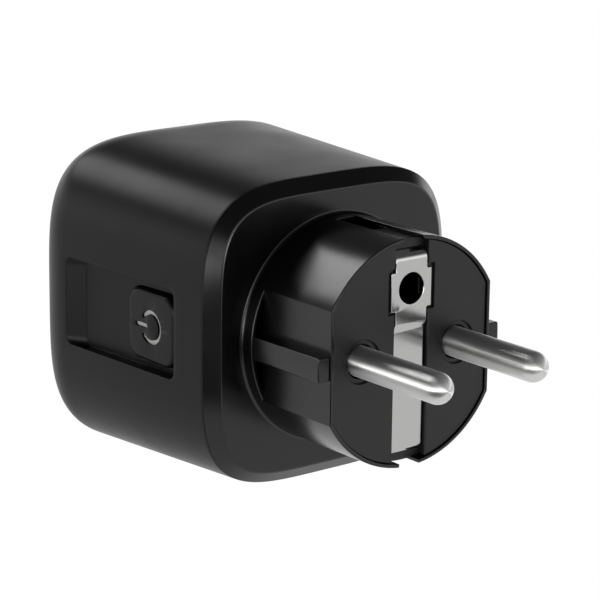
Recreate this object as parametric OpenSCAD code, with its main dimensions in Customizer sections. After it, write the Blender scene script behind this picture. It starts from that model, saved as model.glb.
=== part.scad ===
// Wi-Fi smart plug, CEE 7/7 plug on one side and CEE 7/3 socket on the other.
// X runs from pin to pin, Y points the way the pins do, Z points to the earth hole.
// The origin is the centre of the plug's face, in the plane of its outer lip.

/* [Body] */
// Width and height of the body at the socket end
body_w = 51.6; // [51:0.2:66]
// Width and height of the body at the seam with the rear cover
rim_w = 48.6; // [48:0.2:60]
// Width and height of the rear cover's flat plate
plate_w = 44.3; // [42:0.1:54]
// Distance from the seam to the socket face
body_l = 44.4; // [44:0.2:60]
// Wall of the housing
wall = 1.6; // [1.2:0.1:1.8]
// How far the rounding at the socket end runs in from the side
nose_in = 4.4; // [2:0.1:5]
// How far the rounding at the socket end runs along the body
nose_l = 7.4; // [3:0.1:9]
// Squareness of the body's outline, 2 is a circle
body_square = 4; // [3.5:0.1:6]
// Squareness of the rear plate's outline
plate_square = 4.5; // [3.5:0.1:6]

/* [Side pocket and button] */
// Height of the pocket in the side
pocket_h = 14.6; // [14:0.1:18]
// Height of the pocket's middle above the pins
pocket_z = 0.4; // [0:0.1:0.8]
// Distance from the socket face to the pocket
pocket_from_socket = 9; // [8.6:0.1:12]
// Length of the pocket
pocket_l = 28.2; // [27:0.1:32]
// Radius of the pocket's corners
pocket_r = 1.5; // [1:0.1:4]
// Depth of the pocket at its socket end
pocket_shallow = 1.8; // [1.4:0.1:3]
// Depth of the pocket at its plug end
pocket_deep = 2.4; // [1.8:0.1:3.6]
// Length of the button along the body
button_l = 12.5; // [10:0.1:13]
// Height of the button
button_h = 11.6; // [9:0.1:12]
// Radius of the button's corners
button_r = 2.8; // [1:0.1:3.5]
// How far the button's face stands above the pocket's floor
button_proud = 1.2; // [0.8:0.1:2.2]
// Gap between the button and the end of the pocket
button_end_gap = 1; // [0.6:0.1:1.6]
// Gap round the button
button_gap = 0.15; // [0.1:0.05:0.3]
// Travel of the button
button_travel = 0.5; // [0.2:0.1:0.6]
// Outer radius of the power symbol
symbol_r = 2.8; // [2:0.1:3.4]
// Width of the power symbol's stroke
symbol_w = 0.75; // [0.4:0.05:1]
// Depth of the power symbol below the button's face
symbol_sunk = 0.35; // [0.1:0.05:0.4]

/* [Plug] */
// Radius of the plug
plug_r = 18.2; // [18:0.1:19]
// Distance from the plug's lip to the rear plate
plug_l = 18.8; // [17.5:0.1:22]
// Half of the distance across the plug's flats
flat_half = 15.9; // [15:0.1:17]
// Length of the plug's flats
flat_l = 16.3; // [14:0.1:17]
// Width of the rib on each flat
rib_w = 3.8; // [2:0.1:5]
// Wall of the plug's shell
shell_wall = 0.9; // [0.8:0.1:1.5]
// Depth of the plug's face below its lip
lip_h = 0.3; // [0.1:0.1:0.8]
// Width of the slots for the earth contacts at the top and the bottom
slot_w = 3.9; // [3:0.1:6]
// Width of the channel that holds the earth strap
channel_w = 6.6; // [5:0.1:8]
// Distance between the pins
pin_pitch = 19; // [18.8:0.1:19.2]
// Radius of the pins
pin_r = 2.4; // [2.3:0.05:2.5]
// Length of the pins from the plug's lip
pin_l = 19; // [18.5:0.1:19.5]
// Height of the earth hole above the pins
earth_z = 10; // [9.5:0.1:10.5]
// Radius of the earth hole
earth_r = 2.45; // [2.4:0.05:2.7]
// Depth that an earth pin needs
earth_depth = 15; // [14:0.5:16]

/* [Socket] */
// Radius of the socket's well
well_r = 19.6; // [19.3:0.1:20.5]
// Depth of the socket's well
well_depth = 17.5; // [17:0.1:19]
// Wall of the well
well_wall = 0.9; // [0.8:0.1:1.4]
// Radius of the holes for the pins of another plug
socket_hole_r = 2.75; // [2.6:0.05:3]
// Turn of the child shutter
shutter_turn = 36; // [36:1:44]

/* [Boards] */
// Thickness of the main board
board_t = 1.6; // [1:0.2:2]
// Distance from the rear cover's plate to the main board
board_gap = 4.2; // [3.8:0.1:6]
// Diameter of the board screws
screw_d = 2; // [1.6:0.1:2.5]

/* [Hidden] */

$fn = 96;
cut = 0.5;                       // how far a cutter runs past what it cuts
fit_gap = 0.1;                   // gap between pieces that slide together
slide_gap = 0.08;                // radial gap of a shaft that moves in its hole
seat_gap = 0.05;                 // gap between pieces that touch
ring_points = 64;                // points round the body's outline

plate_y = -plug_l;
chamfer_l = 1.8;
seam_y = plate_y - chamfer_l;
socket_y = seam_y - body_l;
nose_y = socket_y + nose_l;
well_floor_y = socket_y + well_depth;
floor_t = 2;
well_back_y = well_floor_y + floor_t;
well_out_r = well_r + well_wall;
cover_t = 1.8;                   // thickness of the rear cover's plate
board_y = plate_y - cover_t - board_gap;        // face of the main board towards the pins
board_back_y = board_y - board_t;
spigot_l = 3.4;                  // how far the rear cover reaches into the housing
spigot_t = 1.2;

pocket_y0 = socket_y + pocket_from_socket;
pocket_y1 = pocket_y0 + pocket_l;
button_y1 = pocket_y1 - button_end_gap;
button_y0 = button_y1 - button_l;
button_y = (button_y0 + button_y1) / 2;
pocket_x0 = half_at(pocket_y0) - pocket_shallow;
pocket_x1 = half_at(pocket_y1) - pocket_deep;
button_face_x = floor_x(button_y) + button_proud;
pocket_ramp = 3;                 // how far the pocket's socket end slopes outwards
button_wall = 1.2;               // wall left behind the pocket
symbol_open = 42;                // half of the ring's opening
flange_t = 0.8;
flange_out = 0.8;                // how far the button's flange reaches past its sides
flange_x = floor_x(button_y1) - button_wall - 0.25;   // outer face of the flange
plunger_x = flange_x - flange_t - seat_gap;
plunger_r = 1.75;
plunger_l = 2.9;
switch_h = 3.4;
switch_top_x = plunger_x - button_travel - 0.4;
button_board_t = 1;
button_board_x = switch_top_x - switch_h - button_board_t;

lip_face_y = -lip_h;
strap_y = lip_face_y - 0.1;      // front of the earth strap
strap_t = 0.8;
strap_w = channel_w - 0.4;
strap_step = 0.5;                // how much lower the strap lies below its bend
strap_bend_z = 3.4;
strap_low_z = -15;
tab_out = 0.9;                   // how far the strap's tabs reach past its edges
recess_gap = 0.6;                // room round the tabs in the carrier
recess_depth = 0.55;
strap_high_z = 15.2;
strap_leg_z = 16.2;              // outer face of the strap's legs along the slots
strap_leg_l = 13;
carrier_l = 8.5;
carrier_back_y = lip_face_y - carrier_l;
shell_in_r = plug_r - shell_wall;
flat_in = flat_half - shell_wall;
seat_r = pin_r + 1;
seat_depth = 0.4;
root_r = 3.3;
root_y = lip_face_y - 1;         // where the pin's shoulder starts
tail_r = 1.5;
tail_y = -17;
guide_wall = 0.6;
guide_half = earth_r + 0.15 + guide_wall;

shutter_y = well_back_y + 0.3;
shutter_t = 1.5;
shutter_r = 13.6;
post_r = 2;
post_l = 6.4;
clip_w = 5;
clip_t = 0.6;
clip_base_y = shutter_y + shutter_t + 3.4;
block_y0 = clip_base_y + clip_t + 0.2;
block_y1 = board_back_y - 0.6;
block_w = 6.7;                   // width of one chamber of the contact block
block_h = 8.4;
block_wall = 0.7;
contact_t = 0.5;
contact_gap = 2.1;               // half of the gap between a contact's leaves

relay_size = [24, 12.6];
relay_h = 12.4;
wifi_z = -14.2;
screw_at = [[18, 16], [-18.6, -1], [17.8, -15.4]];
boss_r = 2.6;
lead_r = 0.4;
lead_out = 0.3;                  // how far the leads come through the board
film_leads = [[-15.8, -11.6], [-9.4, -11.6]];
varistor_leads = [[-7.4, 7], [-7.4, 11.8]];
fuse_leads = [[4.4, 7.4], [14.8, 7.4]];
shunt_legs = [[5.5, 3.6], [8.9, 3.6]];

function sgn(v) = v < 0 ? -1 : 1;
function outline(half, square) = [for (i = [0 : ring_points - 1]) let (a = 360 * i / ring_points)
    [half * sgn(cos(a)) * pow(abs(cos(a)), 2 / square), half * sgn(sin(a)) * pow(abs(sin(a)), 2 / square)]];
function half_at(y) = rim_w / 2 + (seam_y - y) / (seam_y - nose_y) * (body_w - rim_w) / 2;
function floor_x(y) = pocket_x0 + (y - pocket_y0) / pocket_l * (pocket_x1 - pocket_x0);
function nose_sections(steps, inset) = [for (i = [1 : steps]) let (a = 90 * i / steps)
    [nose_y - (nose_l - inset) * sin(a), body_w / 2 - inset - (nose_in - inset / 2) * (1 - cos(a)), body_square]];

// Solid through a list of [y, half width, squareness], from the pins' side to the socket's
module loft(sections) {
    n = ring_points;
    last = len(sections) - 1;
    points = [for (s = sections) for (p = outline(s[1], s[2])) [p[0], s[0], p[1]]];
    sides = [for (k = [0 : last - 1]) for (i = [0 : n - 1]) let (j = (i + 1) % n)
        each [[k * n + i, (k + 1) * n + j, k * n + j], [k * n + i, (k + 1) * n + i, (k + 1) * n + j]]];
    polyhedron(points = points, convexity = 4, faces = concat(sides,
        [[for (i = [0 : n - 1]) i]], [[for (i = [n - 1 : -1 : 0]) last * n + i]]));
}

// Cylinder along Y from y0 to y1
module rod(r, y0, y1, x = 0, z = 0) {
    translate([x, y0, z]) rotate([-90, 0, 0]) cylinder(r = r, h = y1 - y0);
}

// Box from its low corner to its high corner
module block(low, high) {
    translate(low) cube(high - low);
}

// Flat shape drawn in X and Z, made solid from y0 to y1
module slab_y(y0, y1) {
    translate([0, y1, 0]) rotate([90, 0, 0]) linear_extrude(y1 - y0) children();
}

// Flat shape drawn in Y and Z, made solid from x0 to x1
module slab_x(x0, x1) {
    translate([x0, 0, 0]) rotate([90, 0, 90]) linear_extrude(x1 - x0) children();
}

// Rectangle with round corners, centred at a point
module round_rect(w, h, r, at = [0, 0]) {
    translate(at) {
        square([w - 2 * r, h], center = true);
        square([w, h - 2 * r], center = true);
        for (x = [-1, 1], y = [-1, 1]) translate([x * (w / 2 - r), y * (h / 2 - r)]) circle(r);
    }
}

// The pocket's floor slopes from one end to the other
module below_floor(drop, x_high) {
    linear_extrude(3 * pocket_h, center = true) polygon([
        [half_at(pocket_y0) - drop, pocket_y0], [pocket_x0 - drop, pocket_y0 + pocket_ramp],
        [pocket_x1 - drop, pocket_y1], [x_high, pocket_y1], [x_high, pocket_y0]]);
}

module pocket_cut() {
    intersection() {
        slab_x(pocket_x1 - 2, body_w) round_rect(pocket_l, pocket_h, pocket_r,
            [pocket_y0 + pocket_l / 2, pocket_z]);
        below_floor(0, body_w);
    }
}

module button_outline(grow) {
    round_rect(button_l + 2 * grow, button_h + 2 * grow, button_r + grow, [button_y, 0]);
}

// Ring open towards the socket, and a bar that reaches into the opening
module symbol_outline() {
    translate([button_y, 0]) {
        difference() {
            circle(symbol_r);
            circle(symbol_r - symbol_w);
            polygon([[0, 0], [-2 * symbol_r, 2 * symbol_r * tan(symbol_open)],
                [-2 * symbol_r, -2 * symbol_r * tan(symbol_open)]]);
        }
        translate([-symbol_r * 0.875, 0]) square([symbol_r * 0.875, symbol_w], center = true);
        for (x = [-1.3125, -0.4375]) translate([x * symbol_r, 0]) circle(symbol_w / 2);
        for (z = [-1, 1]) rotate(z * (180 - symbol_open)) translate([symbol_r - symbol_w / 2, 0]) circle(symbol_w / 2);
    }
}

module housing() {
    color("#1d1e20") difference() {
        union() {
            difference() {
                loft(concat([[seam_y, rim_w / 2, body_square], [nose_y, body_w / 2, body_square]],
                    nose_sections(8, 0)));
                loft(concat([[seam_y + cut, rim_w / 2 - wall, body_square],
                    [nose_y, body_w / 2 - wall, body_square]], nose_sections(5, wall)));
            }
            intersection() {
                block([pocket_x1 - button_wall - 0.4, pocket_y0 - button_wall, pocket_z - pocket_h / 2 - button_wall],
                    [half_at(pocket_y0) - wall / 2, pocket_y1 + button_wall, pocket_z + pocket_h / 2 + button_wall]);
                union() {
                    below_floor(button_wall, body_w);
                    block([pocket_x0 - 0.2, pocket_y0 - button_wall, -pocket_h],
                        [body_w, pocket_y0 + 0.1, pocket_h]);
                    block([pocket_x1 - button_wall, pocket_y1 - 0.1, -pocket_h],
                        [half_at(pocket_y1) - wall / 2, pocket_y1 + button_wall, pocket_h]);
                }
            }
        }
        pocket_cut();
        rod(well_out_r + fit_gap, socket_y - cut, nose_y + cut);
        slab_x(flange_x - 3, body_w) button_outline(button_gap);
    }
}

module rear_cover() {
    color("#17181a") difference() {
        union() {
            loft([[plate_y, plate_w / 2, plate_square], [seam_y, rim_w / 2, body_square]]);
            loft([[seam_y + 0.1, rim_w / 2 - wall - fit_gap, body_square],
                [seam_y - spigot_l, rim_w / 2 - wall - fit_gap, body_square]]);
            difference() {
                rod(plug_r, plate_y - 0.2, 0);
                for (x = [-1, 1]) block([x > 0 ? flat_half : -plug_r - 1, -flat_l, -plug_r],
                    [x > 0 ? plug_r + 1 : -flat_half, 1, plug_r]);
            }
            intersection() {
                rod(plug_r, -flat_l - 1, 0);
                block([-plug_r, -flat_l - 1, -rib_w / 2], [plug_r, -lip_h, rib_w / 2]);
            }
            rotate([-90, 0, 0]) translate([0, 0, plate_y]) rotate_extrude() difference() {
                translate([plug_r - 0.1, -0.1]) square(0.6);
                translate([plug_r + 0.5, 0.5]) circle(0.5);
            }
        }
        loft([[plate_y - cover_t, rim_w / 2 - wall - fit_gap - spigot_t, body_square],
            [seam_y - spigot_l - cut, rim_w / 2 - wall - fit_gap - spigot_t, body_square]]);
        intersection() {
            rod(shell_in_r, plate_y - cover_t - 1, cut);
            block([-flat_in, plate_y - cover_t - 2, -plug_r], [flat_in, 1, plug_r]);
        }
        for (z = [-1, 1]) block([-slot_w / 2, -flat_l, z > 0 ? 14 : -plug_r - 1],
            [slot_w / 2, 1, z > 0 ? plug_r + 1 : -14]);
        for (p = screw_at) rod(screw_d / 2 - 0.15, board_y - cut, plate_y - 0.8, p[0], p[1]);
    }
    color("#17181a") for (p = screw_at) difference() {
        rod(boss_r, board_y + seat_gap, plate_y - cover_t + 0.1, p[0], p[1]);
        rod(screw_d / 2 - 0.15, board_y - cut, plate_y - 0.8, p[0], p[1]);
    }
}

// Two face halves on one block, with the channel for the earth strap between them
module plug_carrier() {
    leg_in = strap_leg_z - strap_t - seat_gap;
    color("#1a1b1d") difference() {
        intersection() {
            rod(shell_in_r - fit_gap, carrier_back_y, lip_face_y);
            block([fit_gap - flat_in, carrier_back_y - 1, -plug_r], [flat_in - fit_gap, 1, plug_r]);
        }
        block([-channel_w / 2, strap_y - strap_t - strap_step - seat_gap, -plug_r],
            [channel_w / 2, 1, plug_r]);
        for (z = [-1, 1]) block([-channel_w / 2, carrier_back_y - 1, z > 0 ? leg_in : -plug_r],
            [channel_w / 2, 1, z > 0 ? plug_r : -leg_in]);
        block([-strap_w / 2 - tab_out - recess_gap, lip_face_y - recess_depth, earth_z - 3.6],
            [strap_w / 2 + tab_out + recess_gap, 1, earth_z + 3.4]);
        for (x = [-1, 1] * pin_pitch / 2) {
            rod(seat_r, lip_face_y - seat_depth, 1, x);
            rod(pin_r + 0.55, root_y - 0.1, 1, x);
            rod(root_r, carrier_back_y - 1, root_y, x);
        }
        block([-guide_half - fit_gap, carrier_back_y - 1, earth_z - guide_half - fit_gap],
            [guide_half + fit_gap, 0, earth_z + guide_half + fit_gap]);
    }
}

// Round pin with a shoulder that the carrier holds and a tail for its bus bar
module plug_pin(x) {
    color("#c9cacb") translate([x, 0, 0]) {
        rod(pin_r, root_y - 0.1, pin_l - pin_r);
        translate([0, pin_l - pin_r, 0]) rotate([-90, 0, 0]) rotate_extrude() intersection() {
            circle(pin_r);
            square(pin_r);
        }
        rod(root_r, carrier_back_y, root_y);
        rod(tail_r, tail_y, carrier_back_y + 0.1);
    }
}
module live_pin() { plug_pin(pin_pitch / 2); }
module neutral_pin() { plug_pin(-pin_pitch / 2); }

// Front strip with the earth hole and tabs, and a leg along each slot
module earth_strap() {
    y0 = strap_y - strap_t;
    low = strap_step;
    color("#c4c6c8") difference() {
        union() {
            slab_x(-strap_w / 2, strap_w / 2) polygon([
                [strap_y, strap_bend_z + 1.3], [strap_y, strap_high_z],
                [strap_y - 0.9, strap_leg_z], [strap_y - strap_leg_l, strap_leg_z],
                [strap_y - strap_leg_l, strap_leg_z - strap_t], [y0 - 0.4, strap_leg_z - strap_t],
                [y0, strap_high_z - 0.7], [y0, strap_bend_z + 1.3],
                [y0 - low, strap_bend_z], [y0 - low, strap_low_z],
                [strap_y - low, strap_low_z], [strap_y - low, strap_bend_z]]);
            block([-strap_w / 2 - tab_out, lip_face_y - recess_depth + seat_gap, earth_z - 3.3],
                [strap_w / 2 + tab_out, strap_y, earth_z + 2.8]);
        }
        rod(earth_r, y0 - 1, 1, 0, earth_z);
    }
    color("#c4c6c8") slab_x(-strap_w / 2, strap_w / 2) polygon([
        [y0 - low + 0.1, strap_low_z + 0.8], [y0 - low + 0.1, strap_low_z],
        [y0 - low, -strap_leg_z], [strap_y - strap_leg_l, -strap_leg_z],
        [strap_y - strap_leg_l, strap_t - strap_leg_z], [y0 - low, strap_t - strap_leg_z]]);
}

// Square guide behind the earth hole, open to the front
module earth_guide() {
    inner = guide_half - guide_wall;
    color("#161719") difference() {
        block([-guide_half, strap_y - earth_depth, earth_z - guide_half],
            [guide_half, strap_y - strap_t - strap_step - seat_gap, earth_z + guide_half]);
        block([-inner, strap_y - earth_depth + guide_wall, earth_z - inner], [inner, 1, earth_z + inner]);
    }
}

// Round well with its guide ribs, pin holes, clip slots and the shutter's post
module socket_well() {
    color("#1b1c1e") difference() {
        union() {
            difference() {
                rod(well_out_r, socket_y, well_back_y);
                rod(well_r, socket_y - cut, well_floor_y);
            }
            for (x = [-1, 1], z = [-1, 1]) block([x > 0 ? flat_half + 0.5 : -well_r - 0.2,
                socket_y + 2, z * (rib_w / 2 + 1.7) - 0.9], [x > 0 ? well_r + 0.2 : -flat_half - 0.5,
                well_floor_y + 0.1, z * (rib_w / 2 + 1.7) + 0.9]);
            rod(post_r, well_back_y - 0.1, well_back_y + post_l);
        }
        for (x = [-1, 1] * pin_pitch / 2) rod(socket_hole_r, well_floor_y - 1, well_back_y + 1, x);
        for (z = [-1, 1]) block([-clip_w / 2 - 0.4, socket_y + 3.4, z > 0 ? 15 : -well_out_r - 1],
            [clip_w / 2 + 0.4, well_back_y + 1, z > 0 ? well_out_r + 1 : -15]);
    }
}

// Disc with two windows that line up with the pin holes once it has turned
module shutter() {
    color("#d8d8d4") difference() {
        union() {
            rod(shutter_r, shutter_y, shutter_y + shutter_t);
            rod(post_r + 1.6, shutter_y, shutter_y + shutter_t + 0.8);
        }
        rod(post_r + slide_gap, shutter_y - 1, shutter_y + shutter_t + 2);
        for (a = [0, 180]) rotate([0, -shutter_turn - a, 0]) rod(socket_hole_r, shutter_y - 1,
            shutter_y + shutter_t + 1, pin_pitch / 2);
    }
}

// Wire along a list of points, with flat ends
module wire(points, r, sides = 8) {
    n = len(points);
    rings = [for (k = [0 : n - 1]) let (d = points[min(k + 1, n - 1)] - points[max(k - 1, 0)],
        t = d / norm(d), u = cross(t, [0, 1, 0]), un = u / norm(u), v = cross(un, t))
        for (i = [0 : sides - 1]) points[k] + r * (cos(360 * i / sides) * un + sin(360 * i / sides) * v)];
    polyhedron(points = rings, faces = concat(
        [for (k = [0 : n - 2]) for (i = [0 : sides - 1]) let (j = (i + 1) % sides)
            each [[k * sides + i, (k + 1) * sides + j, k * sides + j],
                [k * sides + i, (k + 1) * sides + i, (k + 1) * sides + j]]],
        [[for (i = [0 : sides - 1]) i]], [[for (i = [sides - 1 : -1 : 0]) (n - 1) * sides + i]]));
}

// Torsion spring round the shutter's post
module shutter_spring() {
    turns = 2;
    steps = 14;
    coil_r = post_r + 0.7;
    spring_y = shutter_y + shutter_t + 1;
    color("#9fa2a5") wire([for (i = [0 : turns * steps]) let (a = 360 * i / steps)
        [coil_r * cos(a), spring_y + 0.35 + 0.75 * i / steps, coil_r * sin(a)]], 0.25);
}

// Two open chambers on a web, behind the pin holes
module contact_block() {
    color("#e4e3dd") difference() {
        union() {
            for (x = [-1, 1] * pin_pitch / 2) block([x - block_w / 2, block_y0, -block_h / 2],
                [x + block_w / 2, block_y1, block_h / 2]);
            block([-pin_pitch / 2, block_y0 + 5, -2.5], [pin_pitch / 2, block_y0 + 7, 2.5]);
        }
        for (x = [-1, 1] * pin_pitch / 2) block([x - block_w / 2 + block_wall, block_y0 - 1,
            block_wall - block_h / 2], [x + block_w / 2 - block_wall, block_y1 - 1, block_h / 2 - block_wall]);
        for (x = [-1, 1] * pin_pitch / 2) rod(1, block_y1 - 2, block_y1 + 1, x);
    }
}

// Two leaves that grip a pin, on a base with a tail through the board
module socket_contact(x) {
    base_y = block_y1 - 1.1;
    h = block_h - 2 * block_wall - 0.6;
    color("#c99a4a") translate([x, 0, 0]) {
        for (s = [-1, 1]) slab_x(s > 0 ? contact_gap : -contact_gap - contact_t,
            s > 0 ? contact_gap + contact_t : -contact_gap)
            polygon([[block_y0 + 0.6, -h / 2], [base_y, -h / 2], [base_y, h / 2], [block_y0 + 0.6, h / 2]]);
        block([-contact_gap - contact_t, base_y - contact_t, -h / 2],
            [contact_gap + contact_t, base_y, h / 2]);
        rod(0.7, base_y - 0.2, board_y + 0.8);
    }
}
module live_contact() { socket_contact(pin_pitch / 2); }
module neutral_contact() { socket_contact(-pin_pitch / 2); }

// Bracket across the back of the well, with a spring clip at the top and the bottom
module earth_clips() {
    leg_z = well_out_r + 0.4;
    tip_y = socket_y + 5.5;
    color("#c4c6c8") difference() {
        union() {
            block([-clip_w / 2, clip_base_y, -leg_z - clip_t], [clip_w / 2, clip_base_y + clip_t, leg_z + clip_t]);
            for (m = [0, 1]) mirror([0, 0, m]) slab_x(-clip_w / 2, clip_w / 2) polygon([
                [clip_base_y + clip_t, leg_z], [clip_base_y + clip_t, leg_z + clip_t],
                [tip_y, leg_z + clip_t], [tip_y - 1, leg_z], [tip_y - 1, leg_z - 0.8],
                [tip_y + 4, 17.4], [tip_y + 6, 17.4], [well_floor_y - 0.6, 18.6],
                [well_floor_y - 0.6, 18.6 + clip_t], [tip_y + 6, 17.4 + clip_t],
                [tip_y + 4, 17.4 + clip_t], [tip_y, leg_z - 0.5], [tip_y, leg_z]]);
        }
        rod(post_r + 0.4, clip_base_y - 1, clip_base_y + 2);
    }
}

// Strip from the plug's earth strap to the bracket behind the socket
module earth_link() {
    z = -strap_leg_z + strap_t + seat_gap;
    color("#b9a26a") {
        block([-2, clip_base_y + clip_t + seat_gap, z], [2, strap_y - strap_leg_l + 4, z + 0.8]);
        block([-2, clip_base_y + clip_t + seat_gap, z - 3], [2, clip_base_y + clip_t + seat_gap + 0.8, z + 0.1]);
    }
}

module main_board() {
    half = rim_w / 2 - wall - 1.4;
    color("#1f5a35") difference() {
        slab_y(board_back_y, board_y) polygon(outline(half, body_square));
        for (x = [-1, 1] * pin_pitch / 2) rod(0.75, board_back_y - 1, board_y + 1, x);
        for (x = [-1, 1] * pin_pitch / 2) block([x - 1.1, board_back_y - 1, -6.4], [x + 1.1, board_y + 1, -5.2]);
        block([-2.4, board_back_y - 1, -strap_leg_z - 0.4], [2.4, board_y + 1, -strap_leg_z + strap_t + 1.3]);
        for (p = screw_at) rod(screw_d / 2 + 0.2, board_back_y - 1, board_y + 1, p[0], p[1]);
        for (p = concat(film_leads, varistor_leads, fuse_leads))
            rod(lead_r + seat_gap, board_back_y - 1, board_y + 1, p[0], p[1]);
        for (p = shunt_legs) block([p[0] - 0.4, board_back_y - 1, p[1] - 0.9], [p[0] + 0.4, board_y + 1, p[1] + 0.9]);
    }
}

// Three pan-head screws with cross recesses
module board_screws() {
    color("#8d9094") for (p = screw_at) translate([p[0], board_back_y, p[1]]) rotate([90, 0, 0]) difference() {
        union() {
            cylinder(r = screw_d, h = 1.1);
            translate([0, 0, -4.2]) cylinder(r = screw_d / 2 - 0.15, h = 4.3);
        }
        for (a = [0, 90]) rotate(a) translate([0, 0, 1.1]) cube([screw_d * 1.1, 0.4, 1.2], center = true);
    }
}

// Strip from a pin's tail to its slot in the board
module bus_bar(x) {
    color("#c99a4a") translate([x, 0, 0]) {
        difference() {
            block([-2.4, tail_y + 1.2, -6.2], [2.4, tail_y + 2, 2.4]);
            rod(tail_r, tail_y, tail_y + 3);
        }
        block([-0.9, board_back_y - 0.6, -6.2], [0.9, tail_y + 1.3, -5.4]);
    }
}
module live_bus_bar() { bus_bar(pin_pitch / 2); }
module neutral_bus_bar() { bus_bar(-pin_pitch / 2); }

module relay() {
    x0 = -15.4;
    z0 = block_h / 2 + 1.8;
    color("#27456f") difference() {
        block([x0, board_back_y - relay_h, z0], [x0 + relay_size[0], board_back_y - 0.4, z0 + relay_size[1]]);
        block([x0 + 6, board_back_y - relay_h - 1, z0 + 3],
            [x0 + relay_size[0] - 6, board_back_y - relay_h + 0.3, z0 + relay_size[1] - 3]);
    }
    color("#27456f") for (x = [x0 + 1.5, x0 + relay_size[0] - 1.5], z = [z0 + 1.5, z0 + relay_size[1] - 1.5])
        rod(0.8, board_back_y - 0.5, board_back_y, x, z);
}

module film_capacitor() {
    color("#b3852e") {
        slab_y(board_back_y - 11.5, board_back_y - 0.5) round_rect(13, 6, 1, [-10.8, -11.6]);
        for (p = film_leads) rod(lead_r, board_back_y - 0.6, board_y + lead_out, p[0], p[1]);
    }
}

// Two upright cans with a rolled groove near the base
module electrolytic_capacitors() {
    color("#20242e") for (x = [-5.2, 5.2]) translate([x, board_y, -9.6]) rotate([-90, 0, 0]) rotate_extrude()
        difference() {
            square([3.2, 10.4]);
            translate([3.45, 1.5]) circle(0.5);
            translate([-1, 10]) square([3, 1]);
        }
}

// Drum core with its winding
module inductor() {
    color("#3a3d42") translate([0, board_y, earth_z]) rotate([-90, 0, 0]) {
        cylinder(r = 3.4, h = 1);
        translate([0, 0, 0.9]) cylinder(r = 2.7, h = 4.5);
        translate([0, 0, 5.3]) cylinder(r = 3.4, h = 1);
    }
}

module varistor() {
    y = board_y + 5.4;
    color("#2d5f9e") {
        translate([-9, y, 9.4]) rotate([0, 90, 0]) cylinder(r = 4.2, h = 3.2);
        for (p = varistor_leads) rod(lead_r, board_back_y - lead_out, y, p[0], p[1]);
    }
}

module fuse_resistor() {
    color("#3d7a52") {
        translate([5.4, board_y + 2.4, 7.4]) rotate([0, 90, 0]) cylinder(r = 1.8, h = 8.4);
        for (p = fuse_leads) rod(lead_r, board_back_y - lead_out, board_y + 2.4, p[0], p[1]);
        translate([4, board_y + 2.4, 7.4]) rotate([0, 90, 0]) cylinder(r = lead_r, h = 11.2);
    }
}

module current_shunt() {
    x0 = shunt_legs[0][0];
    x1 = shunt_legs[1][0];
    color("#a9876a") translate([0, 0, shunt_legs[0][1]]) difference() {
        block([x0 - 0.3, board_back_y - lead_out, -0.8], [x1 + 0.3, board_y + 2.2, 0.8]);
        block([x0 + 0.3, board_back_y - 1, -1], [x1 - 0.3, board_y + 1.6, 1]);
    }
}

// Bridge rectifier, supply chip and metering chip with their legs
module board_chips() {
    chips = [[-15.4, 4.2, 4.6, 4], [0, 1, 5, 4], [15, -8.4, 5, 4]];
    color("#141414") for (c = chips) {
        block([c[0] - c[2] / 2, board_y + 0.15, c[1] - c[3] / 2], [c[0] + c[2] / 2, board_y + 1.6, c[1] + c[3] / 2]);
        for (k = [-1.5 : 1 : 1.5], s = [-1, 1])
            block([c[0] + k * c[2] / 4.6 - 0.2, board_y, c[1] + s * (c[3] / 2 + 0.5) - 0.6],
                [c[0] + k * c[2] / 4.6 + 0.2, board_y + 0.5, c[1] + s * (c[3] / 2 + 0.5) + 0.6]);
    }
}

module wifi_board() {
    color("#1c3f6e") block([3.4, board_back_y - 16.6, wifi_z], [15.2, board_back_y - seat_gap, wifi_z + 1]);
}

// Pressed can over the radio chip
module wifi_shield() {
    color("#b5b8bb") difference() {
        block([4.2, board_back_y - 10.6, wifi_z - 2.1], [14.4, board_back_y - 1.2, wifi_z - seat_gap]);
        block([4.4, board_back_y - 10.4, wifi_z - 1.9], [14.2, board_back_y - 1.4, wifi_z + 1]);
        for (x = [6.3, 9.3, 12.3]) translate([x, board_back_y - 5.9, wifi_z - 3]) cylinder(r = 0.6, h = 2);
    }
}

// Small upright board that carries the switch and the lamp
module button_board() {
    color("#1f5a35") block([button_board_x, button_y0 - 2.4, -7.6],
        [button_board_x + button_board_t, board_back_y - seat_gap, 7.6]);
}

module switch_body() {
    color("#2b2c2e") difference() {
        slab_x(button_board_x + button_board_t, switch_top_x) round_rect(6.2, 6.2, 0.6, [button_y, 0]);
        translate([plunger_x - plunger_l - button_travel - 0.3, button_y, 0]) rotate([0, 90, 0])
            cylinder(r = plunger_r + slide_gap, h = 6);
    }
}

module switch_plunger() {
    color("#d9d9d6") translate([plunger_x - plunger_l, button_y, 0]) rotate([0, 90, 0]) {
        cylinder(r = plunger_r, h = plunger_l - 0.3);
        translate([0, 0, plunger_l - 0.35]) cylinder(r = plunger_r - 0.3, h = 0.35);
    }
}

module indicator_led() {
    color("#e9e6cf") block([button_board_x + button_board_t, button_y + 3.6, -0.7],
        [button_board_x + button_board_t + 0.8, button_y + 5.2, 0.7]);
}

// Cap with a sunk power symbol and a flange that keeps it in the housing
module button_cap() {
    color("#1d1e20") difference() {
        union() {
            slab_x(flange_x - flange_t / 2, button_face_x) button_outline(0);
            slab_x(flange_x - flange_t, flange_x) button_outline(flange_out);
        }
        slab_x(flange_x - 0.3, button_face_x + 1) symbol_outline();
    }
}

// Clear insert that fills the symbol from behind
module light_guide() {
    color("#aeb0b2") slab_x(flange_x - 0.25, button_face_x - symbol_sunk) symbol_outline();
}

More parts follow.
